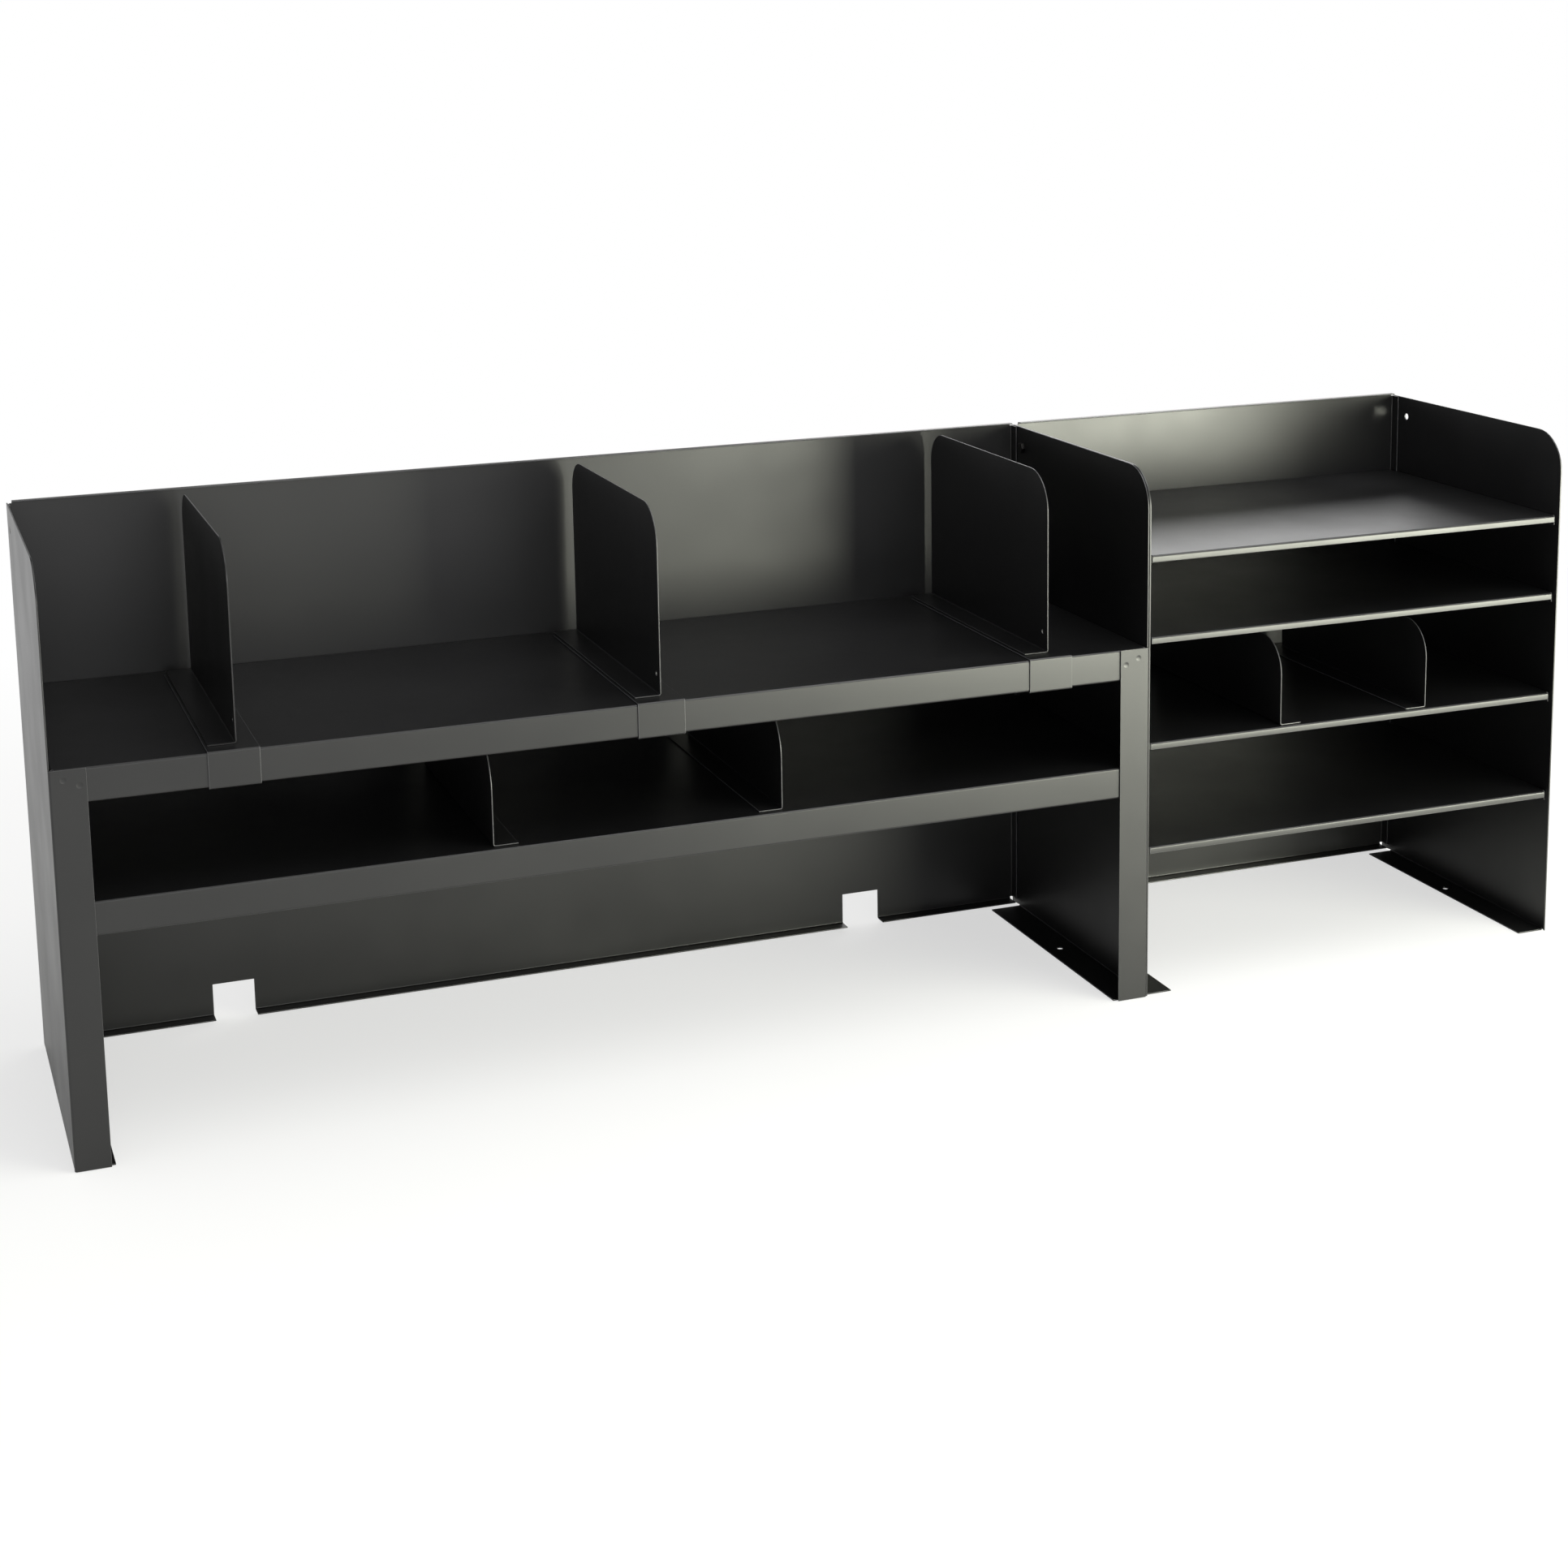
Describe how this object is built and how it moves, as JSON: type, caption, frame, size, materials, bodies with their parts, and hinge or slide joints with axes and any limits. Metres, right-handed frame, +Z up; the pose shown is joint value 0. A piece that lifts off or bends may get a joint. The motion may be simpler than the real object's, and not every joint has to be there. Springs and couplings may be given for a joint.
{
  "type": "desktop file sorter",
  "caption": "Raised steel desk shelf with sliding dividers, ganged to a letter tray unit; sorts folders and papers and leaves the desk below free.",
  "frame": {"origin": "middle of the footprint, on the desk", "axes": "+X to the right seen from the front, +Y to the back panel, +Z up"},
  "size_m": [1.4518, 0.2944, 0.515],
  "materials": {
    "powder_coated_steel": "fine satin powder coat",
    "black_oxide_fastener": "black oxide"
  },
  "bodies": {
    "frame": {"shelf_unit_left_panel": "powder_coated_steel", "shelf_unit_right_panel": "powder_coated_steel", "shelf_unit_back_panel": "powder_coated_steel", "upper_shelf": "powder_coated_steel", "lower_shelf": "powder_coated_steel", "lower_divider_1": "powder_coated_steel", "lower_divider_2": "powder_coated_steel", "tray_unit_left_panel": "powder_coated_steel", "tray_unit_right_panel": "powder_coated_steel", "tray_unit_back_panel": "powder_coated_steel", "letter_tray_1": "powder_coated_steel", "letter_tray_2": "powder_coated_steel", "letter_tray_3": "powder_coated_steel", "letter_tray_4": "powder_coated_steel", "tray_divider_1": "powder_coated_steel", "tray_divider_2": "powder_coated_steel", "ganging_bolt": "black_oxide_fastener", "ganging_nut": "black_oxide_fastener"},
    "divider_1": {"divider_base_1": "powder_coated_steel", "divider_blade_1": "powder_coated_steel"},
    "divider_2": {"divider_base_2": "powder_coated_steel", "divider_blade_2": "powder_coated_steel"},
    "divider_3": {"divider_base_3": "powder_coated_steel", "divider_blade_3": "powder_coated_steel"}
  },
  "joints": [
    {"name": "divider_1_slide", "type": "slide", "parent": "frame", "child": "divider_1", "axis": [1, 0, 0], "range_m": [-0.096, 0.16]},
    {"name": "divider_2_slide", "type": "slide", "parent": "frame", "child": "divider_2", "axis": [1, 0, 0], "range_m": [-0.16, 0.165]},
    {"name": "divider_3_slide", "type": "slide", "parent": "frame", "child": "divider_3", "axis": [1, 0, 0], "range_m": [-0.165, 0.05]}
  ]
}
